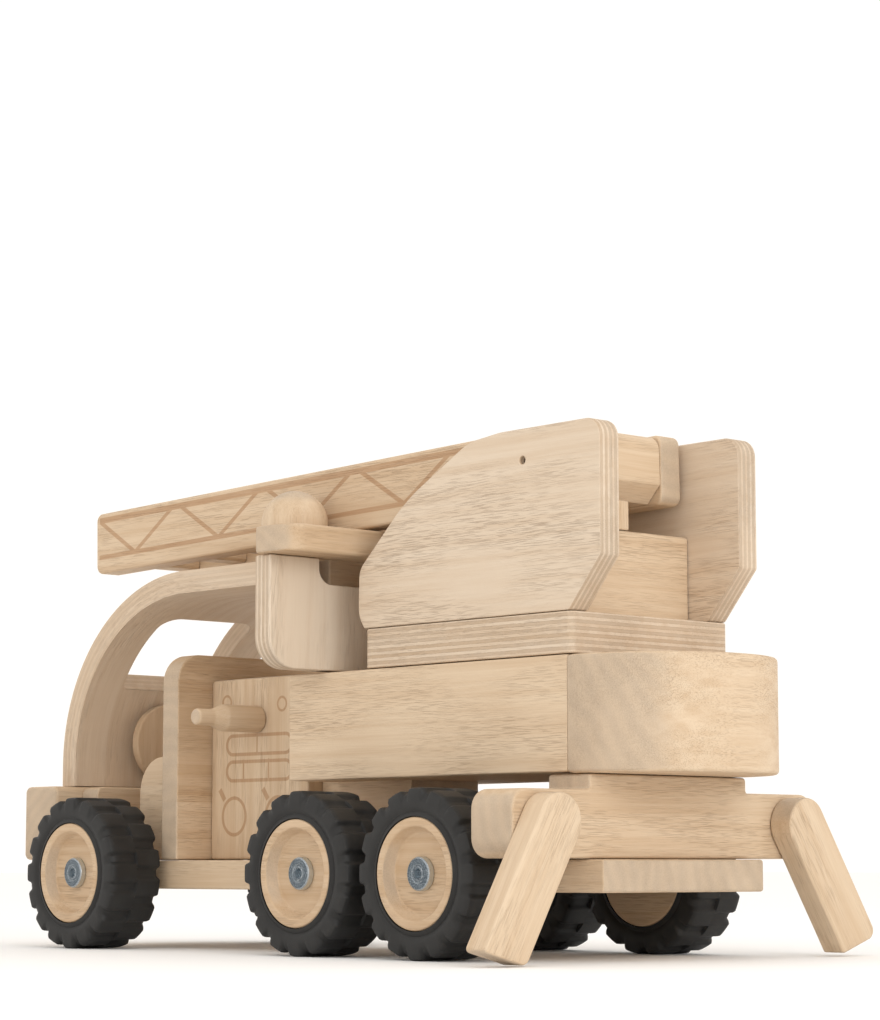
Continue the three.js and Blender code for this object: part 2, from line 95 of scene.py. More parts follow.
class FireEngineColours(bpy.types.PropertyGroup):
    """Colours of the finishes."""

    wood_light: tint("Light wood", "Early wood of the pale hardwood", (0.690, 0.540, 0.380))
    wood_dark: tint("Dark wood", "Late wood of the pale hardwood", (0.500, 0.335, 0.195))
    end_grain: tint("End grain", "Sawn ends of the boards", (0.440, 0.345, 0.255))
    pore: tint("Pores", "Open pores along the grain", (0.230, 0.130, 0.070))
    veneer: tint("Veneer", "Face veneer of the plywood", (0.690, 0.570, 0.440))
    glue: tint("Glue line", "Thin dark line between two plies", (0.330, 0.215, 0.130))
    burn: tint("Burnt line", "Lines scorched into the wood", (0.360, 0.180, 0.075))
    rubber: tint("Rubber", "Moulded rubber of the tyres", (0.0105, 0.010, 0.0095))
    zinc: tint("Zinc", "Plating of the wheel bolts", (0.660, 0.720, 0.760))
    floor: tint("Floor", "Plain pale floor", (0.960, 0.960, 0.955))


# ---- shader expressions -----------------------------------------------------------------

class Value:
    """A number in a shader; arithmetic on it adds Math nodes to its net."""

    def __init__(self, net, socket):
        self.net = net
        self.socket = socket

    def math(self, operation, *others, first=False):
        values = [*others, self] if first else [self, *others]
        return self.net.node("ShaderNodeMath", {"operation": operation}, dict(enumerate(values)))

    def __add__(self, other):
        return self.math("ADD", other)

    def __sub__(self, other):
        return self.math("SUBTRACT", other)

    def __mul__(self, other):
        return self.math("MULTIPLY", other)

    def __truediv__(self, other):
        return self.math("DIVIDE", other)

    def __rsub__(self, other):
        return self.math("SUBTRACT", other, first=True)

    def __rtruediv__(self, other):
        return self.math("DIVIDE", other, first=True)

    def __neg__(self):
        return self * -1

    def __abs__(self):
        return self.math("ABSOLUTE")

    __radd__ = __add__
    __rmul__ = __mul__

    def most(self, other):
        return self.math("MAXIMUM", other)

    def root(self):
        return self.math("SQRT")

    def sine(self):
        return self.math("SINE")

    def floor(self):
        return self.math("FLOOR")

    def wave(self, period):
        """Triangle wave from 0 to half the period."""
        return self.math("PINGPONG", period / 2)

    def step(self, low, high):
        """0 below low, 1 above high, smooth between them; low may be above high."""
        flip = low > high
        ends = (high, low) if flip else (low, high)
        found = self.net.node("ShaderNodeMapRange", {"interpolation_type": "SMOOTHSTEP"},
                              {"Value": self, "From Min": ends[0], "From Max": ends[1]})
        return 1 - found if flip else found


class Net:
    """The nodes of one material."""

    def __init__(self, name):
        self.material = bpy.data.materials.new(name)
        self.material.use_nodes = True
        self.tree = self.material.node_tree
        self.tree.nodes.clear()

    def node(self, kind, settings, inputs, output=0):
        """Adds one node: its settings first, then the values or links of its sockets."""
        made = self.tree.nodes.new(kind)
        for key, value in settings.items():
            setattr(made, key, value)
        for key, value in inputs.items():
            if isinstance(value, Value):
                self.tree.links.new(value.socket, made.inputs[key])
            else:
                made.inputs[key].default_value = value
        return Value(self, made.outputs[output]) if made.outputs else None

    def coordinates(self, output="Object"):
        """x, y and z of the object coordinates, or of its normal."""
        return self.parts(self.node("ShaderNodeTexCoord", {}, {}, output))

    def parts(self, vector):
        split = self.node("ShaderNodeSeparateXYZ", {}, {0: vector}).socket.node
        return [Value(self, socket) for socket in split.outputs]

    def vector(self, x, y, z):
        return self.node("ShaderNodeCombineXYZ", {}, {0: x, 1: y, 2: z})

    def noise(self, x, y, z, detail=2.0, rough=0.5, warp=0.0):
        return self.node("ShaderNodeTexNoise", {}, {
            "Vector": self.vector(x, y, z), "Scale": 1.0, "Detail": detail,
            "Roughness": rough, "Distortion": warp})

    def blend(self, first, second, share, mode="MIX"):
        """Colour that goes from first to second as share goes from 0 to 1."""
        first, second = [c if isinstance(c, Value) else (*c, 1) for c in (first, second)]
        return self.node("ShaderNodeMix", {"data_type": "RGBA", "blend_type": mode},
                         {0: share, 6: first, 7: second}, 2)

    def finish(self, colour, roughness, height=None, lift=0.0, constants=()):
        """Principled shader with a bump of the given height in metres; returns the material."""
        inputs = {"Base Color": colour, "Roughness": roughness, **dict(constants)}
        if height is not None:
            inputs["Normal"] = self.node("ShaderNodeBump", {}, {
                "Strength": 1.0, "Distance": lift, "Height": height})
        shader = self.node("ShaderNodeBsdfPrincipled", {}, inputs)
        self.node("ShaderNodeOutputMaterial", {}, {"Surface": shader})
        return self.material


# ---- wood -------------------------------------------------------------------------------

def grain_axes(axis, x, y, z):
    """Along the grain, and the two directions across it."""
    return {"x": (x, y, z), "y": (y, z, x), "z": (z, x, y)}[axis]


def wood_pattern(net, along, u, v, seed, pores=1.0):
    """Tone from 0 to 1, pores, fibres and rings of wood whose grain runs along the first axis.

    Growth rings are cylinders round a far pith, wobbling slowly; streaks and fibres are noise
    drawn out along the grain; pores are the peaks of a finer noise drawn out the same way.
    """
    shift = seed * 1.7
    wobble = net.noise(along * 5 + shift, u * 22, v * 22 + seed, 2)
    reach_u = u + (0.045 + 0.02 * math.sin(seed))
    reach_v = v - (0.075 + 0.03 * math.cos(seed * 2.3))
    radius = (reach_u * reach_u + reach_v * reach_v).root() + (wobble - 0.5) * 0.030
    ring = (radius * (TAU / RING_PITCH)).sine() * 0.5 + 0.5
    streak = net.noise(along * 9, u * 260 + shift, v * 260, 3, 0.6)
    fibre = net.noise(along * 40 + shift, u * 3000, v * 3000, 1)
    pore_field = net.noise(along * 110, u * 4300 + shift, v * 4300, 0.0)
    patch = net.noise(along * 14 + 3, u * 60, v * 60 + shift, 1)
    holes = pore_field.step(0.600 - 0.03 * pores, 0.730) * patch.step(0.25, 0.65)
    tone = streak.step(0.30, 0.72) * 0.55 + ring * 0.20 + fibre.step(0.3, 0.7) * 0.22
    return tone, holes, fibre, ring


def board_finish(name, axis, seed, warmth_and_painted_light=0.0, pores=1.0, drawing=None, lean=0.0, strips=0.0):
    """Fine-sanded pale hardwood with its grain along one axis.

    warmth goes from 0, pale, to 1, orange-brown. drawing(net, x, y, z) gives burnt lines, and
    lean turns the grain about X, for the slanted legs. strips is the width of edge-glued strips.
    """
    hues = bpy.context.scene.fire_engine_colours
    net = Net(name)
    x, y, z = net.coordinates()
    nx, ny, nz = net.coordinates("Normal")
    if lean:
        y, z = y * math.cos(lean) + z * math.sin(lean), z * math.cos(lean) - y * math.sin(lean)
        ny, nz = (ny * math.cos(lean) + nz * math.sin(lean),
                  nz * math.cos(lean) - ny * math.sin(lean))
    along, u, v = grain_axes(axis, x, y, z)
    tone, holes, fibre, ring = wood_pattern(net, along, u, v, seed, pores)
    if strips:
        place = u / strips
        tone = tone + (net.noise(place.floor() * 5.3, seed, 0.0) - 0.5) * 1.6
        seam = abs(place - place.floor() - 0.5).step(0.48, 0.495)
        tone = tone + seam * 0.35
    ends = abs(grain_axes(axis, nx, ny, nz)[0]).step(0.55, 0.85)
    # warmth pulls the whole piece towards the dark wood; its high values on the cab wall and the deck
    # core are painted shade
    colour = net.blend(hues.wood_light, hues.wood_dark, tone * 0.62 + warmth_and_painted_light * 0.35)
    mottle = net.noise(x * 1900, y * 1900, z * 1900 + seed, 2)
    sawn = net.blend(hues.end_grain, hues.wood_light, mottle.step(0.2, 0.8) * 0.35 + ring * 0.22)
    colour = net.blend(colour, sawn, ends * 0.80)
    colour = net.blend(colour, hues.pore, holes * (0.24 + 0.10 * pores - ends * 0.06))
    if drawing:
        scorch = drawing(net, *net.coordinates()) * (0.36 + fibre * 0.45)
        colour = net.blend(colour, hues.burn, scorch)
    height = fibre * 0.25 - holes
    return net.finish(colour, 0.56 + tone * 0.12, height, 0.00010,
                      {"Specular IOR Level": 0.35}.items())


def ply_finish(name, sheet, seed, grain=0, dashes=1.0, warmth_and_painted_light=0.0, lines=1.0):
    """Plywood: plain veneer on its faces, and layers with crossed grain on its edges.

    sheet(net) gives three coordinates in metres, two in the sheet and the depth through it, and
    the share of edge from 0 on a face to 1 on an edge. lines is how strongly layers show.
    """
    hues = bpy.context.scene.fire_engine_colours
    layer = bpy.context.scene.fire_engine_sizes.layer
    net = Net(name)
    first, second, depth, edge = sheet(net)
    if grain:
        first, second = second, first
    slant = 0.035 * math.sin(seed)
    first, second = first + second * slant, second - first * slant
    tone, holes, fibre, _ = wood_pattern(net, first, second, depth, seed, dashes)
    edge = edge * lines
    crossed = wood_pattern(net, second, first, depth, seed + 5, 1)
    cross_tone, cross_holes, cross_fibre = crossed[:3]
    count = depth / layer
    plies = (count * math.pi).sine()
    odd = plies.step(0.10, -0.10) * edge
    shade = net.noise(count.floor() * 3.7 + seed, first * 6, second * 6, 1)
    ragged = net.noise(first * 700, second * 700, depth * 2500, 2)
    glue = abs(plies).step(0.24, 0.08) * ragged.step(0.28, 0.52) * edge
    # warmth pulls the veneer towards the dark wood: on the bent cab it is painted shade, and its
    # value below 0 on the platform panel is painted light
    face = net.blend(hues.veneer, hues.wood_dark, tone * 0.42 + warmth_and_painted_light * 0.35)
    core = net.blend(hues.end_grain, hues.wood_dark, cross_tone * 0.55)
    core = net.blend(core, hues.pore, cross_holes * 0.45)
    colour = net.blend(face, hues.pore, holes * (0.14 + 0.16 * dashes))
    colour = net.blend(colour, core, odd * 0.62)
    colour = net.blend(colour, hues.wood_dark, shade.step(0.42, 0.66) * edge * 0.28)
    colour = net.blend(colour, hues.glue, glue * 0.55)
    height = fibre * 0.2 - holes - glue * 0.4 + cross_fibre * odd * 0.3
    return net.finish(colour, 0.56 + tone * 0.1, height, 0.00010,
                      {"Specular IOR Level": 0.35}.items())


def flat_sheet(axis, face):
    """Sheet coordinates of flat plywood whose thickness runs along an axis from a face."""
    def read(net):
        places = dict(zip("xyz", net.coordinates()))
        normals = dict(zip("xyz", net.coordinates("Normal")))
        depth = places.pop(axis) - face
        edge = abs(normals[axis]).step(0.90, 0.55)
        first, second = places.values()
        return first, second, depth, edge
    return read


# ---- other finishes ---------------------------------------------------------------------

def rubber_finish():
    """Moulded black rubber: fine pitting, and dusty grey in patches."""
    hues = bpy.context.scene.fire_engine_colours
    net = Net("black_rubber")
    x, y, z = net.coordinates()
    pitting = net.noise(x * 1800, y * 1800, z * 1800, 3, 0.6)
    dust = net.noise(x * 90, y * 90, z * 90, 3, 0.6)
    colour = net.blend(hues.rubber, (0.034, 0.033, 0.031), dust.step(0.35, 0.75) * 0.40)
    return net.finish(colour, 0.46 + dust * 0.22, pitting, 0.00008,
                      {"Specular IOR Level": 0.42}.items())


def zinc_finish():
    """Bright zinc plate: painted reflection darkens its speckled flat face; its rim stays clean."""
    hues = bpy.context.scene.fire_engine_colours
    net = Net("bright_zinc")
    x, y, z = net.coordinates()
    # Painted reflection: the flat face that looks out along the axle is painted dark blue-black for
    # the dark surroundings it mirrors; the bright speckles on it are the plate's own texture
    face = abs(net.coordinates("Normal")[1]).step(0.7, 0.95)
    speckle = net.noise(x * 2400, y * 600, z * 2400, 3, 0.65)
    dark = net.blend((0.025, 0.045, 0.065), hues.zinc, speckle.step(0.50, 0.70))
    colour = net.blend(hues.zinc, dark, face * 0.92)
    return net.finish(colour, 0.24 + speckle * 0.22, speckle, 0.00004, {"Metallic": 1.0}.items())


# ---- burnt drawings ---------------------------------------------------------------------

def ring_line(u, v, centre, radius, width):
    """Line round a circle."""
    du = u - centre[0]
    dv = v - centre[1]
    away = abs((du * du + dv * dv).root() - radius)
    return away.step(width / 2 + 0.00015, width / 2 - 0.00015)


def slot_line(u, v, ends, levels, width):
    """Line round a slot with half-round ends: distance to its middle line less its radius."""
    half = (levels[1] - levels[0]) / 2
    middle = (levels[0] + levels[1]) / 2
    du = (ends[0] + half - u).most(u - (ends[1] - half)).most(0.0)
    dv = v - middle
    away = abs((du * du + dv * dv).root() - half)
    return away.step(width / 2 + 0.00015, width / 2 - 0.00015)


def bar(u, v, at, span, width):
    """Short upright line at one place along u, between two heights."""
    near = abs(u - at).step(width / 2 + 0.00015, width / 2 - 0.00015)
    return near * v.step(span[0] - 0.0002, span[0]) * v.step(span[1] + 0.0002, span[1])


def locker_drawing(net, x, y, z):
    """Two lockers, two gauges and two coiled hoses burnt into the equipment block's side faces."""
    low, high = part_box("equipment_block")
    u = high.x - x
    v = z - low.z
    lines = slot_line(u, v, (11.9 * MM, 59.4 * MM), (48.5 * MM, 57.2 * MM), 1.6 * MM)
    lines = lines.most(slot_line(u, v, (11.9 * MM, 59.4 * MM), (36.4 * MM, 45.1 * MM), 1.6 * MM))
    for place, levels in ((34.2, (48, 58)), (24.3, (36, 46)), (42.7, (36, 46))):
        lines = lines.most(bar(u, v, place * MM, [level * MM for level in levels], 1.0 * MM))
    for place, level in ((11.6, 72.9), (52.2, 70.9)):
        lines = lines.most(ring_line(u, v, (place * MM, level * MM), 3.1 * MM, 1.1 * MM))
    for place in (17.6, 49.6):
        lines = lines.most(ring_line(u, v, (place * MM, 19.9 * MM), 8.5 * MM, 1.6 * MM))
        across = abs((u - (place - 9) * MM) * 0.80 + (v - 30 * MM) * 0.60)
        along = abs((v - 30 * MM) * 0.80 - (u - (place - 9) * MM) * 0.60)
        lines = lines.most(across.step(1.5 * MM, 1.2 * MM) * along.step(3.3 * MM, 2.9 * MM))
    return lines * abs(net.coordinates("Normal")[1]).step(0.8, 0.95)


def truss_drawing(net, x, y, z):
    """Truss burnt into the ladder rails' outer faces: two chords and a zigzag between them."""
    pivot = JOINTS["ladder_lift"]["pos_m"]
    tilt = math.tan(LADDER_TILT)
    u = x - pivot[0]
    v = z - pivot[2] + u * tilt
    low, high = -6.2 * MM, 12.2 * MM
    top = abs(v - high).step(1.55 * MM, 1.25 * MM)
    bottom = abs(v - low).step(1.25 * MM, 0.95 * MM)
    period = 65.9 * MM
    rise = (high - low) / (period / 2 - 3 * MM)
    saw = (u - 286.7 * MM + 10 * period).wave(period)
    slope = 1 / math.cos(math.atan(rise))
    brace = abs(v - low - saw * rise).step(1.2 * MM * slope, 0.9 * MM * slope)
    brace = brace * v.step(low, low + 0.3 * MM) * v.step(high, high - 0.3 * MM)
    shown = u.step(-4 * MM, -3.5 * MM) * u.step(316.5 * MM, 316 * MM)
    outwards = (y * net.coordinates("Normal")[1]).step(20 * MM, 28 * MM)
    return top.most(bottom).most(brace) * shown * outwards


# ---- surfaces ---------------------------------------------------------------------------

def fillet(corners, radii, steps=8):
    """Closed outline: each corner of a polygon becomes an arc that touches both its edges."""
    corners = np.array(corners, float)
    radii = np.broadcast_to(radii, len(corners))
    arcs = []
    for place, radius, before, after in zip(corners, radii, np.roll(corners, 1, 0),
                                            np.roll(corners, -1, 0)):
        back = (before - place) / np.linalg.norm(before - place)
        ahead = (after - place) / np.linalg.norm(after - place)
        half = math.acos(np.clip(back @ ahead, -1, 1)) / 2
        middle = (back + ahead) / np.linalg.norm(back + ahead)
        centre = place + middle * radius / math.sin(half)
        reach = radius / math.tan(half)
        start, end = [math.atan2(*(place + way * reach - centre)[::-1]) for way in (back, ahead)]
        turn = (end - start + math.pi) % TAU - math.pi
        angles = start + turn * np.linspace(0, 1, steps + 1)
        arcs.append(centre + radius * np.stack([np.cos(angles), np.sin(angles)], 1))
    return np.concatenate(arcs)


def rectangle(u0, u1, v0, v1, radii, steps=8):
    """Rectangle with round corners, in the order low-low, high-low, high-high, low-high."""
    return fillet([(u0, v0), (u1, v0), (u1, v1), (u0, v1)], radii, steps)


def circle(u, v, radius, steps=28):
    """Closed ring of points."""
    angles = np.arange(steps) * TAU / steps
    return np.stack([u + radius * np.cos(angles), v + radius * np.sin(angles)], 1)


def grid_faces(rows, columns, closed_rows=False, start=0):
    """Quads of a grid whose columns close on themselves, and whose rows do if asked."""
    index = np.arange(rows * columns).reshape(rows, columns) + start
    if closed_rows:
        index = np.concatenate([index, index[:1]])
    across = np.roll(index, -1, 1)
    quads = np.stack([index[:-1], across[:-1], across[1:], index[1:]], -1)
    return quads.reshape(-1, 4).tolist()


def eased_board(loops, axis, low, high, ease, steps=3):
    """Board whose outline is carried from low to high along an axis, its rims quarter-round.

    Near each end the outline moves inwards by ease times 1 minus the sine of the turn, while
    the depth goes in by ease times 1 minus its cosine. Loops after the first are holes.
    """
    turn = np.linspace(0, math.pi / 2, steps + 1)
    inset = ease * (1 - np.sin(turn))
    depth = ease * (1 - np.cos(turn))
    inset = np.concatenate([inset, inset[::-1]])
    depth = np.concatenate([low + depth, (high - depth)[::-1]])
    points, faces, rims, start = [], [], ([], []), 0
    for number, loop in enumerate(loops):
        after = np.roll(loop, -1, 0)
        area = np.sum(loop[:, 0] * after[:, 1] - loop[:, 1] * after[:, 0])
        if (area > 0) != (number == 0):
            loop = loop[::-1]
        ahead = np.roll(loop, -1, 0) - loop
        ahead = ahead / np.linalg.norm(ahead, axis=1)[:, None]
        normal = np.stack([-ahead[:, 1], ahead[:, 0]], 1)
        before = np.roll(normal, 1, 0)
        mitre = (normal + before) / (1 + np.sum(normal * before, 1))[:, None]
        rings = loop[None] + inset[:, None, None] * mitre[None]
        rows, count = rings.shape[:2]
        level = np.broadcast_to(depth[:, None, None], (rows, count, 1))
        points.append(np.concatenate([rings, level], 2).reshape(-1, 3))
        faces += grid_faces(rows, count, start=start)
        rims[0].append(np.arange(count) + start)
        rims[1].append(np.arange(count) + start + (rows - 1) * count)
        start += rows * count
    points = np.concatenate(points)
    for rim in rims:
        if len(rim) == 1:
            faces.append(rim[0].tolist())
        else:
            index = np.concatenate(rim)
            lines = [[Vector((*points[i][:2], 0)) for i in loop] for loop in rim]
            faces += [[int(index[i]) for i in corner] for corner in tessellate_polygon(lines)]
    order = {"x": [2, 0, 1], "y": [0, 2, 1], "z": [0, 1, 2]}[axis]
    return points[:, order], faces


def turned(profile, axis, centre, steps=64):
    """Surface of revolution: a profile of (radius, distance along the axis) turned about it."""
    profile = np.array(profile, float)
    angles = np.arange(steps) * TAU / steps
    a = profile[:, :1] * np.cos(angles)
    b = profile[:, :1] * np.sin(angles)
    along = np.broadcast_to(profile[:, 1:], a.shape)
    parts = {"x": (along, a, b), "y": (a, along, b), "z": (a, b, along)}[axis]
    return np.stack(parts, -1).reshape(-1, 3) + np.array(centre), grid_faces(len(profile), steps)


def rounded_profile(points, radii, steps=5):
    """Open profile whose inner corners are arcs; its first and last points stay."""
    tips = (0, len(points) - 1)
    closed = fillet(points, [0 if i in tips else r for i, r in enumerate(radii)], steps)
    return np.concatenate([closed[steps:-steps - 1], closed[-1:]])


def turn_about(points, centre, angle, axis):
    """Points turned about the x or y axis through the origin and then moved to a centre."""
    c, s = math.cos(angle), math.sin(angle)
    turn = {"x": [[1, 0, 0], [0, c, s], [0, -s, c]], "y": [[c, 0, -s], [0, 1, 0], [s, 0, c]]}[axis]
    return points @ np.array(turn) + np.array(centre)


def add_piece(name, points, faces, material, body, nodes, slot, sharp=40):
    """Makes a closed mesh in place, smooth between sharp edges, and ties it to the frame."""
    mesh = bpy.data.meshes.new(name)
    mesh.from_pydata(np.asarray(points).tolist(), [], faces)
    work = bmesh.new()
    work.from_mesh(mesh)
    bmesh.ops.remove_doubles(work, verts=work.verts, dist=1e-6)
    bmesh.ops.recalc_face_normals(work, faces=work.faces)
    work.to_mesh(mesh)
    work.free()
    mesh.shade_smooth()
    mesh.set_sharp_from_angle(angle=math.radians(sharp))
    piece = bpy.data.objects.new(name, mesh)
    bpy.context.scene.collection.objects.link(piece)
    mesh.materials.append(material)
    level = piece.modifiers.new("flat faces stay flat", "WEIGHTED_NORMAL")
    level.keep_sharp = True
    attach(piece, body)
    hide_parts(*nodes)
    return piece


def wooden(node, outline, axis, material, body, ease=None, holes=(), suffix="board"):
    """Board in the place of a CAD node: its outline comes in, its depth is the node's own."""
    low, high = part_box(node)
    place = "xyz".index(axis)
    ease = bpy.context.scene.fire_engine_sizes.ease if ease is None else ease
    shape = eased_board([outline(low, high), *holes], axis, low[place], high[place], ease)
    slot = "plywood" if suffix == "ply" else "natural_wood"
    return add_piece(f"{node}_{suffix}", *shape, material, body, [node], slot)


def box_outline(axis, radii, steps=8):
    """Outline of a node's own box across an axis, with round corners."""
    u, v = {"x": (1, 2), "y": (0, 2), "z": (0, 1)}[axis]

    def draw(low, high):
        return rectangle(low[u], high[u], low[v], high[v], radii, steps)
    return draw


# ---- chassis ----------------------------------------------------------------------------

class FIREENGINE_OT_chassis(bpy.types.Operator):
    """Chassis plank, bumper, cab boards and equipment block"""

    bl_idname = "fireengine.chassis"
    bl_label = "Chassis boards"

    def execute(self, context):
        small = 1.3 * MM
        wooden("chassis_plank", box_outline("y", small),
               "y", board_finish("plank_wood", "x", 1.0, 0.12, 0.6), "chassis")
        wooden("front_bumper", box_outline("y", 3 * MM),
               "y", board_finish("bumper_wood", "y", 2.1, 0.35), "chassis", 2 * MM)
        wooden("cab_bulkhead", box_outline("x", [small, small, 4 * MM, 4 * MM]),
               "x", board_finish("bulkhead_wood", "y", 3.4, 0.35), "chassis")
        wooden("cab_seat", box_outline("y", [small, small, 17 * MM, 2 * MM], 14),
               "y", board_finish("seat_wood", "x", 4.2, 0.05, 0.5), "chassis")
        # The cab wall's orange-brown tone (0.9) is painted shade for the shade it stands in, boxed in
        # by the cab and the deck; its strips and seams are real
        wooden("cab_wall", box_outline("x", [small, small, 13 * MM, 13 * MM], 14),
               "x", board_finish("wall_wood", "y", 5.3, 0.9, 0.8, strips=17 * MM), "chassis",
               1.0 * MM)
        drawn = board_finish("block_wood", "z", 6.1, 0.22, 0.5, locker_drawing)
        wooden("equipment_block", box_outline("y", 1.8 * MM),
               "y", drawn, "chassis", 1.3 * MM)
        return {"FINISHED"}


# ---- cab --------------------------------------------------------------------------------

ARCH_THICK = 10.6 * MM
ARCH_BEND_Z = 88 * MM
WINDOW_TILT = math.radians(47.5)
WINDOW_HALF_WIDTH = 27.5 * MM
WINDOW_HALF_HEIGHT = 24.5 * MM
WINDOW_CENTRE = (MID_AXLE + 183 * MM, 144.5 * MM)
BEND_X = MID_AXLE + 123 * MM


def arch_line(s, semi_x, semi_z, foot, end):
    """Points of the cab's side view: up the foot, round a quarter ellipse, back along the roof.

    s goes from 0 to 1 up the foot, 1 to 2 round the bend and 2 to 3 along the roof.
    """
    turn = np.clip(s - 1, 0, 1) * math.pi / 2
    x = BEND_X + semi_x * np.cos(turn) - np.clip(s - 2, 0, 1) * (BEND_X - end)
    z = ARCH_BEND_Z + semi_z * np.sin(turn) - (1 - np.clip(s, 0, 1)) * (ARCH_BEND_Z - foot)
    return np.stack([x, z], 1)


def bent_outline(low, high):
    """Side view of the bent sheet: along its outer face, and back along its inner one."""
    outer = arch_line(np.linspace(0, 3, 97), high.x - BEND_X, high.z - ARCH_BEND_Z, low.z, low.x)
    inner = arch_line(np.linspace(3, 0, 97), high.x - BEND_X - ARCH_THICK,
                      high.z - ARCH_BEND_Z - ARCH_THICK, low.z, low.x)
    return np.concatenate([outer, inner])


def window_prism():
    """Long block through the window, its lower corners tight and its upper ones round."""
    half = WINDOW_HALF_WIDTH
    radii = [3 * MM, 3 * MM, 9 * MM, 9 * MM]
    outline = rectangle(-half, half, -WINDOW_HALF_HEIGHT, WINDOW_HALF_HEIGHT, radii, 10)
    points, faces = eased_board([outline], "x", -0.04, 0.04, 0.1 * MM, 1)
    centre = (WINDOW_CENTRE[0], 0, WINDOW_CENTRE[1])
    return turn_about(points, centre, -WINDOW_TILT, "y"), faces


def bent_sheet(net):
    """Sheet coordinates of the bent cab: along the bend, across it and through it, and the edge.

    The bend is a quarter ellipse, so the depth is how far a point's own scale between the
    outer and the inner ellipse has come, times the thickness. Edges face away from the bend.
    """
    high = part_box("cab_arch")[1]
    x, y, z = net.coordinates()
    nx, _, nz = net.coordinates("Normal")
    out_x, out_z = (x - BEND_X).most(0.0), (z - ARCH_BEND_Z).most(0.0)
    semi_x, semi_z = high.x - BEND_X, high.z - ARCH_BEND_Z
    scales = []
    for inset in (0, ARCH_THICK):
        across_x, across_z = out_x / (semi_x - inset), out_z / (semi_z - inset)
        scales.append((across_x * across_x + across_z * across_z).root())
    outer, inner = scales
    depth = (1 - outer) / (inner - outer).most(0.001) * ARCH_THICK
    along = out_x.math("ARCTAN2", out_z) * 0.085 + (BEND_X - x).most(0.0) * -1
    along = along + (ARCH_BEND_Z - z).most(0.0)
    reach = (out_x * out_x + out_z * out_z).root().most(0.001)
    facing = abs((nx * out_x + nz * out_z) / reach)
    return along, y, depth, facing.step(0.93, 0.75)


class FIREENGINE_OT_cab(bpy.types.Operator):
    """Bent plywood cab with its slanted windscreen, and the steering disc"""

    bl_idname = "fireengine.cab"
    bl_label = "Cab"

    def execute(self, context):
        low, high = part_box("cab_arch")
        shape = eased_board([bent_outline(low, high)], "y", low.y, high.y, 0.05 * MM, 1)
        # The bent sheet's darker tone (0.45) is painted shade for its shaded inner face; the faint
        # layer lines (0.4) are the sheet's own
        material = ply_finish("bent_ply", bent_sheet, 1.3, 0, 0.25, 0.45, 0.4)
        cab = add_piece("cab_bent_ply", *shape, material, "chassis", ["cab_arch"], "plywood")
        mesh = bpy.data.meshes.new("window")
        points, faces = window_prism()
        mesh.from_pydata(points.tolist(), [], faces)
        prism = bpy.data.objects.new("window", mesh)
        context.scene.collection.objects.link(prism)
        hole = cab.modifiers.new("window", "BOOLEAN")
        hole.operation = "DIFFERENCE"
        hole.solver = "EXACT"
        hole.object = prism
        graph = context.evaluated_depsgraph_get()
        shaped = bpy.data.meshes.new_from_object(cab.evaluated_get(graph))
        cab.modifiers.remove(hole)
        bpy.data.objects.remove(prism)
        cab.data = shaped
        soft = cab.modifiers.new("sanded rims", "BEVEL")
        soft.width = context.scene.fire_engine_sizes.ply_ease
        soft.segments = 3
        soft.limit_method = "ANGLE"
        soft.angle_limit = math.radians(50)
        cab.modifiers.move(1, 0)

        low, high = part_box("steering_disc")
        centre = JOINTS["steering_turn"]["pos_m"]
        disc = high.y - centre[1]
        profile = rounded_profile(
            [(0, low.x), (disc, low.x), (disc, low.x + 5 * MM), (3 * MM, low.x + 5 * MM),
             (3 * MM, high.x), (0, high.x)], [0, 1.2 * MM, 1.2 * MM, 0.3 * MM, 0.3 * MM, 0])
        add_piece("steering_disc_wood", *turned(profile, "x", (0, centre[1], centre[2])),
                  board_finish("disc_wood", "z", 7.7, 0.5, 0.5), "steering", ["steering_disc"],
                  "natural_wood")
        return {"FINISHED"}


# ---- deck and stabiliser ----------------------------------------------------------------

def bowed_outline(low, high):
    """Plan of the rear block: half a superellipse that bows backwards from a straight front."""
    turn = np.linspace(0, math.pi, 73)
    power = 2 / 2.2
    back = np.sin(turn) ** power
    across = np.sign(np.cos(turn)) * abs(np.cos(turn)) ** power
    return np.stack([high.x - (high.x - low.x) * back, high.y * across], 1)


class FIREENGINE_OT_deck(bpy.types.Operator):
    """Deck sides, rounded rear block and the hidden core"""

    bl_idname = "fireengine.deck"
    bl_label = "Deck"

    def execute(self, context):
        for number, side in enumerate(SIDES):
            wooden(f"deck_side_{side}", box_outline("y", 1.4 * MM),
                   "y", board_finish(f"deck_{side}_wood", "x", 8.4 + number, -0.15, 1.3), "chassis",
                   0.8 * MM)
        wooden("deck_rear_block", bowed_outline,
               "z", board_finish("rear_block_wood", "y", 9.6, 0.05, 0.9), "chassis", 1.6 * MM)
        # The core's darker tone (0.5) is painted shade for the shade it sits in under the deck
        frame["nodes"]["deck_core"].data.materials[0] = board_finish("core_wood", "x", 10.5, 0.5)
        return {"FINISHED"}


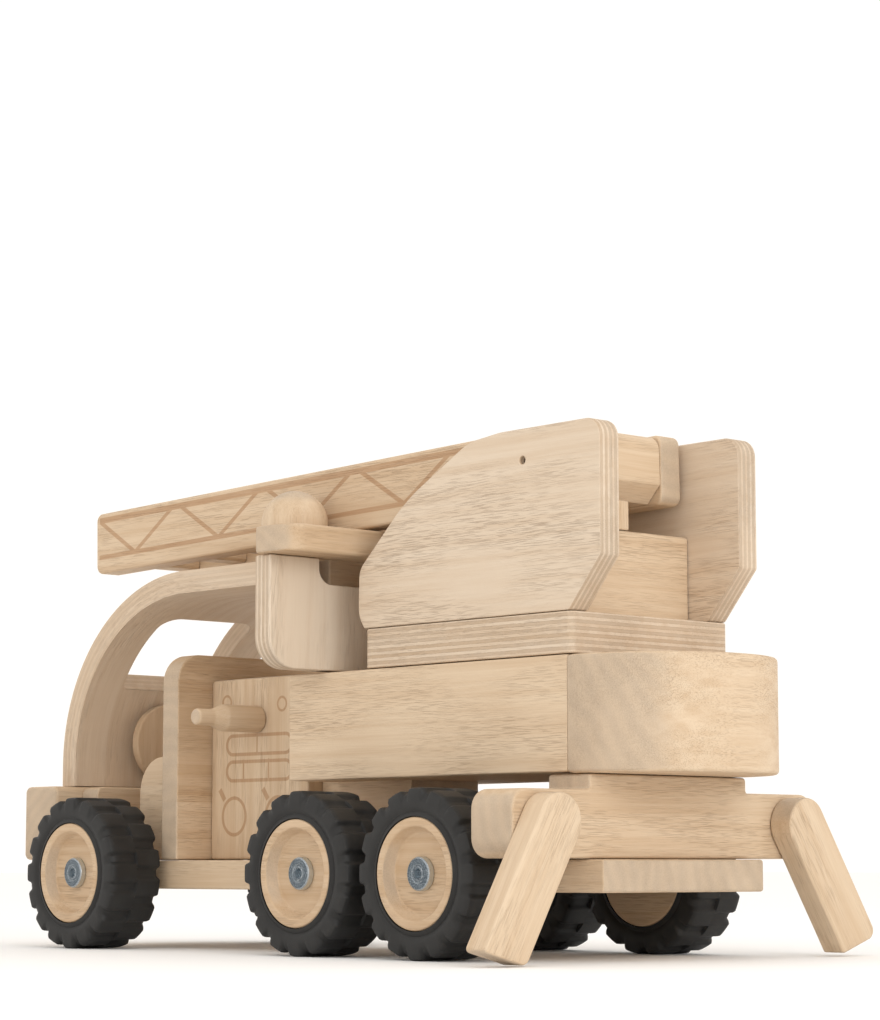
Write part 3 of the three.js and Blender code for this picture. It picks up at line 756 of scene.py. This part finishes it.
class FIREENGINE_OT_stabiliser(bpy.types.Operator):
    """T-shaped stabiliser beam and its two swinging legs"""

    bl_idname = "fireengine.stabiliser"
    bl_label = "Stabiliser"

    def execute(self, context):
        low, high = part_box("stabiliser_beam")
        shoulder = 68.3 * MM
        stem = 46.6 * MM
        soft = 1.5 * MM
        outline = fillet(
            [(low.y, low.z), (high.y, low.z), (high.y, shoulder), (stem, shoulder),
             (stem, high.z), (-stem, high.z), (-stem, shoulder), (low.y, shoulder)],
            [8 * MM, 8 * MM, 8 * MM, soft, soft, soft, soft, 8 * MM])
        shape = eased_board([outline], "x", low.x, high.x, 1.2 * MM)
        add_piece("stabiliser_beam_board", *shape, board_finish("beam_wood", "y", 11.2, 0.2, 0.8),
                  "chassis", ["stabiliser_beam"], "natural_wood")
        half, reach, slope = 11.3 * MM, 60.5 * MM, math.radians(15)
        leans = {"left": math.radians(30), "right": math.radians(33.5)}
        for side, sign in SIDES.items():
            low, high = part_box(f"leg_{side}")
            pivot = JOINTS[f"leg_fold_{side}"]["pos_m"]
            lean = leans[side]
            drop = sign * half * math.tan(slope)
            outline = fillet(
                [(-half, drop - reach), (half, -drop - reach), (half, half), (-half, half)],
                [4 * MM, 1.8 * MM, half * 0.999, half * 0.999], 16)
            points, faces = eased_board([outline], "x", low.x, high.x, 1.1 * MM)
            points = turn_about(points, (0, pivot[1], pivot[2]), sign * lean, "x")
            material = board_finish(f"leg_{side}_wood", "z", 12.3 + sign, -0.05, 0.5,
                                    lean=sign * lean)
            add_piece(f"leg_{side}_board", points, faces, material, f"{side}_leg",
                      [f"leg_{side}"], "natural_wood")
            low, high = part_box(f"leg_dowel_{side}")
            radius, proud = (high.y - low.y) / 2, high.x + 0.4 * MM
            profile = rounded_profile([(0, low.x), (radius, low.x), (radius, proud), (0, proud)],
                                      [0, 0.5 * MM, 0.5 * MM, 0])
            add_piece(f"leg_dowel_{side}_peg", *turned(profile, "x", (0, pivot[1], pivot[2]), 40),
                      board_finish(f"dowel_{side}_wood", "x", 13.7 + sign, 0.3), "chassis",
                      [f"leg_dowel_{side}"], "natural_wood")
        return {"FINISHED"}


# ---- turntable --------------------------------------------------------------------------

def cheek_outline(low, high):
    """Side view of a cheek: long slope at the front, chamfer low at the rear, round top corner."""
    front, rear, top, foot = high.x, low.x, high.z, low.z
    corners = [
        (front - 3.8 * MM, foot), (rear + 18.3 * MM, foot), (rear, foot + 21.4 * MM), (rear, top),
        (rear + 58.3 * MM, top - 0.3 * MM), (front - 70.5 * MM, top - 2.4 * MM),
        (front - 30.5 * MM, top - 23.6 * MM), (front - 0.4 * MM, top - 51.0 * MM),
        (front, foot + 6 * MM)]
    soft = [2 * MM, 2 * MM, 2 * MM, 8 * MM, 40 * MM, 26 * MM, 90 * MM, 9 * MM, 12 * MM]
    return fillet(corners, soft, 10)


class FIREENGINE_OT_turntable(bpy.types.Operator):
    """Thick plywood plate, the two cheeks and the turret between them"""

    bl_idname = "fireengine.turntable"
    bl_label = "Turntable"

    def execute(self, context):
        ply_ease = context.scene.fire_engine_sizes.ply_ease
        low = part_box("turntable_plate")[0]
        material = ply_finish("plate_ply", flat_sheet("z", low.z), 2.2, 0, 0.4, 0.1)
        wooden("turntable_plate", box_outline("z", 3 * MM), "z", material, "turntable", ply_ease,
               suffix="ply")
        pivot = JOINTS["ladder_lift"]["pos_m"]
        for number, side in enumerate(SIDES):
            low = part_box(f"cheek_{side}")[0]
            sheet = flat_sheet("y", low.y)
            material = ply_finish(f"cheek_{side}_ply", sheet, 3.1 + number, 0, 1.7, -0.05)
            hole = circle(pivot[0], pivot[2], 1.65 * MM)
            wooden(f"cheek_{side}", cheek_outline, "y", material, "turntable", ply_ease, [hole],
                   "ply")
        wooden("turret_block", box_outline("y", 1.2 * MM), "y",
               board_finish("turret_wood", "y", 14.8, 0.1, 1.1), "turntable")
        wooden("ladder_stop", box_outline("y", 0.9 * MM), "y",
               board_finish("stop_wood", "z", 15.9, 0.25, 0.5), "turntable", 0.6 * MM)
        frame["nodes"]["turntable_pin"].data.materials[0] = board_finish("pin_wood", "z", 16.5, 0.2)
        frame["nodes"]["ladder_pin"].data.materials[0] = zinc_finish()
        return {"FINISHED"}


class FIREENGINE_OT_platform(bpy.types.Operator):
    """Operator's platform: arm, panel, guard board, block and floor boards"""

    bl_idname = "fireengine.platform"
    bl_label = "Platform"

    def execute(self, context):
        body = "turntable"
        wooden("platform_arm", box_outline("y", 1.2 * MM), "y",
               board_finish("arm_wood", "x", 17.4, 0.4), body)
        wooden("platform_block", box_outline("y", 1.4 * MM), "y",
               board_finish("perch_wood", "y", 18.1, 0.6, 0.5), body)
        for number, side in enumerate(SIDES):
            wooden(f"platform_floor_{side}", box_outline("z", 1.2 * MM), "z",
                   board_finish(f"floor_{side}_wood", "y", 19.2 + number, 0.2), body, 0.6 * MM)
        guard = board_finish("guard_wood", "y", 20.6, 1.0, 0.6)
        wooden("guard_board", box_outline("z", [11 * MM, 3 * MM, 3 * MM, 11 * MM], 14), "z", guard,
               body, 1.3 * MM)
        low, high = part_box("platform_panel")
        horn = high.y - 28 * MM
        notch = 161.6 * MM
        soft = 0.7 * MM
        outline = fillet(
            [(low.y, low.z), (high.y, low.z), (high.y, high.z), (horn, high.z), (horn, notch),
             (-horn, notch), (-horn, high.z), (low.y, high.z)],
            [14 * MM, 14 * MM, soft, soft, 7 * MM, 7 * MM, soft, soft], 12)
        shape = eased_board([outline], "x", low.x, high.x, context.scene.fire_engine_sizes.ply_ease)
        # The panel's tone below 0 lightens it towards the bare veneer: painted light for its brightly
        # lit rear face
        material = ply_finish("panel_ply", flat_sheet("x", low.x), 4.4, 1, 0.2, -0.5)
        add_piece("platform_panel_ply", *shape, material, body, ["platform_panel"], "plywood")
        return {"FINISHED"}


class FIREENGINE_OT_figure(bpy.types.Operator):
    """Peg figure with a ball head, and the turned hose nozzle"""

    bl_idname = "fireengine.figure"
    bl_label = "Figure and nozzle"

    def execute(self, context):
        low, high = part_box("firefighter")
        centre = (low + high) / 2
        head = (high.x - low.x) / 2
        ball = high.z - head
        body = 9 * MM
        start = math.asin(6 * MM / head)
        turn = np.linspace(start, math.pi, 26)
        skull = np.stack([head * np.sin(turn), ball - head * np.cos(turn)], 1)
        trunk = rounded_profile(
            [(0, low.z), (body, low.z), (body, low.z + 31 * MM), tuple(skull[0]), tuple(skull[1])],
            [0, 1 * MM, 3.4 * MM, 1.2 * MM, 0])
        profile = np.concatenate([trunk[:-1], skull[1:]])
        add_piece("peg_figure", *turned(profile, "z", (centre.x, centre.y, 0)),
                  board_finish("figure_wood", "z", 21.3, -0.05, 0.4), "figure", ["firefighter"],
                  "natural_wood")
        low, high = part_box("hose_nozzle")
        centre = (low + high) / 2
        face = low.y + 17 * MM
        profile = rounded_profile(
            [(0, low.y), (3 * MM, low.y), (3 * MM, face + 0.3 * MM), (6.2 * MM, face + 0.3 * MM),
             (6.2 * MM, face + 21 * MM), (3.8 * MM, face + 27.5 * MM), (3.8 * MM, high.y),
             (0, high.y)],
            [0, 0.4 * MM, 0.3 * MM, 0.5 * MM, 5 * MM, 3 * MM, 1.8 * MM, 0], 8)
        add_piece("hose_nozzle_peg", *turned(profile, "y", (centre.x, 0, centre.z), 48),
                  board_finish("nozzle_wood", "y", 22.7, 0.25, 0.7), "nozzle", ["hose_nozzle"],
                  "natural_wood")
        return {"FINISHED"}


# ---- ladder -----------------------------------------------------------------------------

LADDER_TILT = math.radians(1.5)


class FIREENGINE_OT_ladder(bpy.types.Operator):
    """Ladder rails with a burnt truss, rungs and tail block"""

    bl_idname = "fireengine.ladder"
    bl_label = "Ladder"

    def execute(self, context):
        pivot = JOINTS["ladder_lift"]["pos_m"]
        ease = context.scene.fire_engine_sizes.ease
        rail_low, rail_high = -14.2 * MM, 15.8 * MM
        tip = 319 * MM

        def place(name, loops, low, high, material, node, rim):
            points, faces = eased_board(loops, "y", low, high, rim)
            points = turn_about(points, (pivot[0], 0, pivot[2]), LADDER_TILT, "y")
            add_piece(name, points, faces, material, "ladder", [node], "natural_wood")

        for number, side in enumerate(SIDES):
            low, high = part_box(f"rail_{side}")
            outline = rectangle(-14.6 * MM, tip, rail_low, rail_high, 4 * MM, 12)
            material = board_finish(f"rail_{side}_wood", "x", 23.9 + number, 0.22, 0.7,
                                    truss_drawing)
            place(f"rail_{side}_board", [outline, circle(0, 0, 1.65 * MM)], low.y, high.y,
                  material, f"rail_{side}", 1.2 * MM)
        rung_material = board_finish("rung_wood", "y", 25.5, 0.3)
        for number in range(7):
            node = f"rung_{number + 1}"
            low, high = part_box(node)
            front = tip - 1 * MM - number * 38 * MM
            foot = rail_low + 4.8 * MM
            outline = rectangle(front - 13 * MM, front, foot, foot + 10.4 * MM, 2 * MM)
            place(f"{node}_board", [outline], low.y, high.y, rung_material, node, 0.3 * MM)
        low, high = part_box("ladder_tail_block")
        outline = fillet(
            [(14 * MM, -13.6 * MM), (-6.8 * MM, -13.6 * MM), (-14.4 * MM, -6 * MM),
             (-14.4 * MM, 15 * MM), (14 * MM, 15 * MM)],
            [1 * MM, 1.2 * MM, 1.2 * MM, 6 * MM, 1 * MM], 10)
        place("ladder_tail_board", [outline, circle(0, 0, 1.65 * MM)], low.y, high.y,
              board_finish("tail_wood", "y", 26.4, 0.1), "ladder_tail_block", ease)
        return {"FINISHED"}


# ---- wheels -----------------------------------------------------------------------------

def tyre_shape(lugs, groove, radius, half, bore):
    """Tyre as a closed grid: turn round the axle by place in the section.

    The section runs out along the wall, over the shoulder and across the tread. Its lug shape
    and its pocket shape are mixed by a square wave with soft flanks, which is half a pitch
    later on the inner half of the tread.
    """
    wall = np.array([[half, bore],
                     [half - 0.3 * MM, bore + 1.1 * MM], [half - 0.9 * MM, bore + 2.0 * MM],
                     [half - 0.5 * MM, bore + 3.0 * MM], [half, bore + 4.0 * MM],
                     [half, radius - 5.8 * MM]])
    high_shoulder = np.array([[half, radius - 3.6 * MM], [half - 0.15 * MM, radius - 1.6 * MM],
                              [half - 0.7 * MM, radius - 0.6 * MM],
                              [half - 1.8 * MM, radius - 0.1 * MM],
                              [half - 3.4 * MM, radius]])
    low_shoulder = np.array([[half - 0.4 * MM, radius - 4.6 * MM],
                             [half - 1.0 * MM, radius - 3.2 * MM],
                             [half - 1.9 * MM, radius - 2.3 * MM],
                             [half - 3.0 * MM, radius - 1.7 * MM],
                             [half - 4.8 * MM, radius - groove]])
    middle = np.array([[5.2 * MM, 0], [2.6 * MM, 0], [0.9 * MM, 0], [0.25 * MM, 0]])
    lug = np.concatenate([wall, high_shoulder, middle + [0, radius]])
    pocket = np.concatenate([wall, low_shoulder, middle + [0, radius - groove]])
    steps = lugs * 20
    turn = np.arange(steps) / steps
    sections = []
    for side, shift in ((1, 0.0), (-1, 0.5)):
        swing = np.cos(TAU * (turn * lugs + shift))
        mask = np.clip((swing + 0.45) / 0.36 * 0.5 + 0.5, 0, 1)
        mask = (mask * mask * (3 - 2 * mask))[:, None, None]
        section = mask * lug + (1 - mask) * pocket
        section = section * [side, 1]
        sections.append(section if side == 1 else section[:, ::-1])
    section = np.concatenate(sections, 1)
    angle = (turn * TAU)[:, None]
    y, r = section[..., 0], section[..., 1]
    points = np.stack([r * np.sin(angle), y, r * np.cos(angle)], -1)
    return points.reshape(-1, 3), grid_faces(steps, section.shape[1], closed_rows=True)


def bolt_shape(tip, seat, top, shank, head, socket, depth, steps=60):
    """Bolt turned about Y; near the socket each ring goes from a circle to a hexagon."""
    profile = np.array([(0, tip), (shank, tip), (shank, seat), (head, seat), (head, top - 0.9 * MM),
                        (head - 0.25 * MM, top - 0.35 * MM), (head - 0.8 * MM, top),
                        (socket * 1.75, top), (socket * 1.55, top - 0.25 * MM),
                        (socket * 1.3, top - 0.25 * MM), (socket * 1.15, top),
                        (socket, top - 0.1 * MM), (socket * 0.96, top - depth), (0, top - depth)])
    hexed = np.array([0, 0, 0, 0, 0, 0, 0, 0, 0, 0, 0.4, 1, 1, 1.0])[:, None]
    angles = np.arange(steps) * TAU / steps
    sector = (angles + math.pi / 6) % (math.pi / 3) - math.pi / 6
    hexagon = math.cos(math.pi / 6) / np.cos(sector)
    radius = profile[:, :1] * (1 - hexed + hexed * hexagon)
    along = np.broadcast_to(profile[:, 1:], radius.shape)
    points = np.stack([radius * np.cos(angles), along, radius * np.sin(angles)], -1)
    return points.reshape(-1, 3), grid_faces(len(profile), steps)


class FIREENGINE_OT_wheels(bpy.types.Operator):
    """Six wheels: lugged tyre, turned wooden hub and socket-head bolt"""

    bl_idname = "fireengine.wheels"
    bl_label = "Wheels"

    def execute(self, context):
        sizes = context.scene.fire_engine_sizes
        rubber = rubber_finish()
        zinc = zinc_finish()
        bore = 23.3 * MM
        for number, station in enumerate(("front", "mid", "rear")):
            for side, sign in SIDES.items():
                tag = f"{station}_{side}"
                joint = JOINTS[f"spin_{tag}"]["pos_m"]
                low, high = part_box(f"tyre_{tag}")
                half = (high.y - low.y) / 2
                middle = sign * abs(low.y + high.y) / 2
                facing = np.array([1, sign, 1])
                place = [joint[0], middle, joint[2]]
                body = f"wheel_{tag}"

                points, faces = tyre_shape(sizes.lugs, sizes.groove, joint[2], half, bore)
                add_piece(f"lugged_tyre_{tag}", points * facing + place, faces,
                          rubber, body, [f"tyre_{tag}"], "tyre_rubber", 32)

                outer = bore - 0.25 * MM
                recess, depth, hole = 19.3 * MM, 5.2 * MM, 3.15 * MM
                ring = fillet(
                    [(hole, -half), (outer, -half), (outer, half), (recess, half),
                     (recess - 2.4 * MM, half - depth), (hole, half - depth)],
                    [0.2 * MM, 0.8 * MM, 1.0 * MM, 1.2 * MM, 1.4 * MM, 0.2 * MM], 5)
                ring = np.concatenate([ring, ring[:1]])
                points, faces = turned(ring, "y", (0, 0, 0), 72)
                material = board_finish(f"hub_{tag}_wood", "x", 30.0 + number * 2 + sign, 1.0, 0.8)
                add_piece(f"turned_hub_{tag}", points * facing + place, faces,
                          material, body, [f"hub_{tag}"], "natural_wood")

                low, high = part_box(f"bolt_{tag}")
                ends = sorted([abs(low.y), abs(high.y)])
                points, faces = bolt_shape(ends[0], ends[1] - 2.7 * MM, ends[1], 2.9 * MM, 7 * MM,
                                           2.3 * MM, sizes.head_dish)
                points = turn_about(points * facing, (joint[0], 0, joint[2]), 0, "y")
                add_piece(f"socket_bolt_{tag}", points, faces, zinc, "chassis", [f"bolt_{tag}"],
                          "zinc_steel", 25)
        return {"FINISHED"}


# ---- stage ------------------------------------------------------------------------------

class FIREENGINE_OT_stage(bpy.types.Operator):
    """Plain pale floor, soft studio light and the camera"""

    bl_idname = "fireengine.stage"
    bl_label = "Stage"

    def execute(self, context):
        scene = context.scene
        net = Net("pale_floor")
        x, y, z = net.coordinates()
        cloud = net.noise(x * 3, y * 3, z, 2)
        hue = scene.fire_engine_colours.floor
        colour = net.blend(hue, [c * 0.985 for c in hue], cloud)
        size = 12.0
        mesh = bpy.data.meshes.new("floor")
        mesh.from_pydata([(-size, -size, 0), (size, -size, 0), (size, size, 0), (-size, size, 0)],
                         [], [(0, 1, 2, 3)])
        mesh.materials.append(net.finish(colour, 0.9))
        floor = bpy.data.objects.new("floor", mesh)
        scene.collection.objects.link(floor)

        world = bpy.data.worlds.new("studio")
        world.use_nodes = True
        sky = world.node_tree.nodes["Background"]
        sky.inputs["Color"].default_value = (1, 0.965, 0.925, 1)
        sky.inputs["Strength"].default_value = 1.09
        scene.world = world
        scene.view_settings.view_transform = "Standard"

        self.soft_box(scene, "key", (-0.9, 1.5, 1.9), 1.3, 3.2, (0.96, 0.985, 1.0))
        self.soft_box(scene, "rear", (-2.1, 0.6, 0.8), 1.1, 13.5, (0.95, 0.98, 1.0))

        camera = bpy.data.cameras.new("camera")
        camera.sensor_width = 36
        camera.lens = 100.64
        camera.clip_start = 0.01
        view = bpy.data.objects.new("camera", camera)
        view.location = (MID_AXLE - 0.9424, 0.8566, 0.0382)
        target = Vector((MID_AXLE - 0.0037, 0.0, 0.1968))
        view.rotation_euler = (target - view.location).to_track_quat("-Z", "Y").to_euler()
        scene.collection.objects.link(view)
        scene.camera = view
        return {"FINISHED"}

    @staticmethod
    def soft_box(scene, name, place, size, power, colour):
        """Square area light that looks at the middle of the toy."""
        light = bpy.data.lights.new(name, "AREA")
        light.size = size
        light.energy = power
        light.color = colour
        lamp = bpy.data.objects.new(name, light)
        lamp.location = place
        aim = Vector((0, 0, 0.1)) - Vector(place)
        lamp.rotation_euler = aim.to_track_quat("-Z", "Y").to_euler()
        scene.collection.objects.link(lamp)


# ---- panel and registration -------------------------------------------------------------

OPERATORS = (
    FIREENGINE_OT_chassis, FIREENGINE_OT_cab, FIREENGINE_OT_deck, FIREENGINE_OT_stabiliser,
    FIREENGINE_OT_turntable, FIREENGINE_OT_platform, FIREENGINE_OT_figure, FIREENGINE_OT_ladder,
    FIREENGINE_OT_wheels, FIREENGINE_OT_stage,
)


class FIREENGINE_PT_build(bpy.types.Panel):
    """Buttons that build the fire engine, and its settings"""

    bl_idname = "FIREENGINE_PT_build"
    bl_label = "Fire Engine"
    bl_space_type = "VIEW_3D"
    bl_region_type = "UI"
    bl_category = "Fire Engine"

    def draw(self, context):
        for operator in OPERATORS:
            self.layout.operator(operator.bl_idname)
        for group in (context.scene.fire_engine_sizes, context.scene.fire_engine_colours):
            for name in group.__annotations__:
                self.layout.prop(group, name)


CLASSES = (FireEngineSizes, FireEngineColours, *OPERATORS, FIREENGINE_PT_build)


def register():
    for cls in CLASSES:
        bpy.utils.register_class(cls)
    bpy.types.Scene.fire_engine_sizes = bpy.props.PointerProperty(type=FireEngineSizes)
    bpy.types.Scene.fire_engine_colours = bpy.props.PointerProperty(type=FireEngineColours)


def unregister():
    del bpy.types.Scene.fire_engine_colours
    del bpy.types.Scene.fire_engine_sizes
    for cls in reversed(CLASSES):
        bpy.utils.unregister_class(cls)


def main():
    register()
    for operator in OPERATORS:
        area, name = operator.bl_idname.split(".")
        getattr(getattr(bpy.ops, area), name)()


if __name__ == "__main__":
    main()
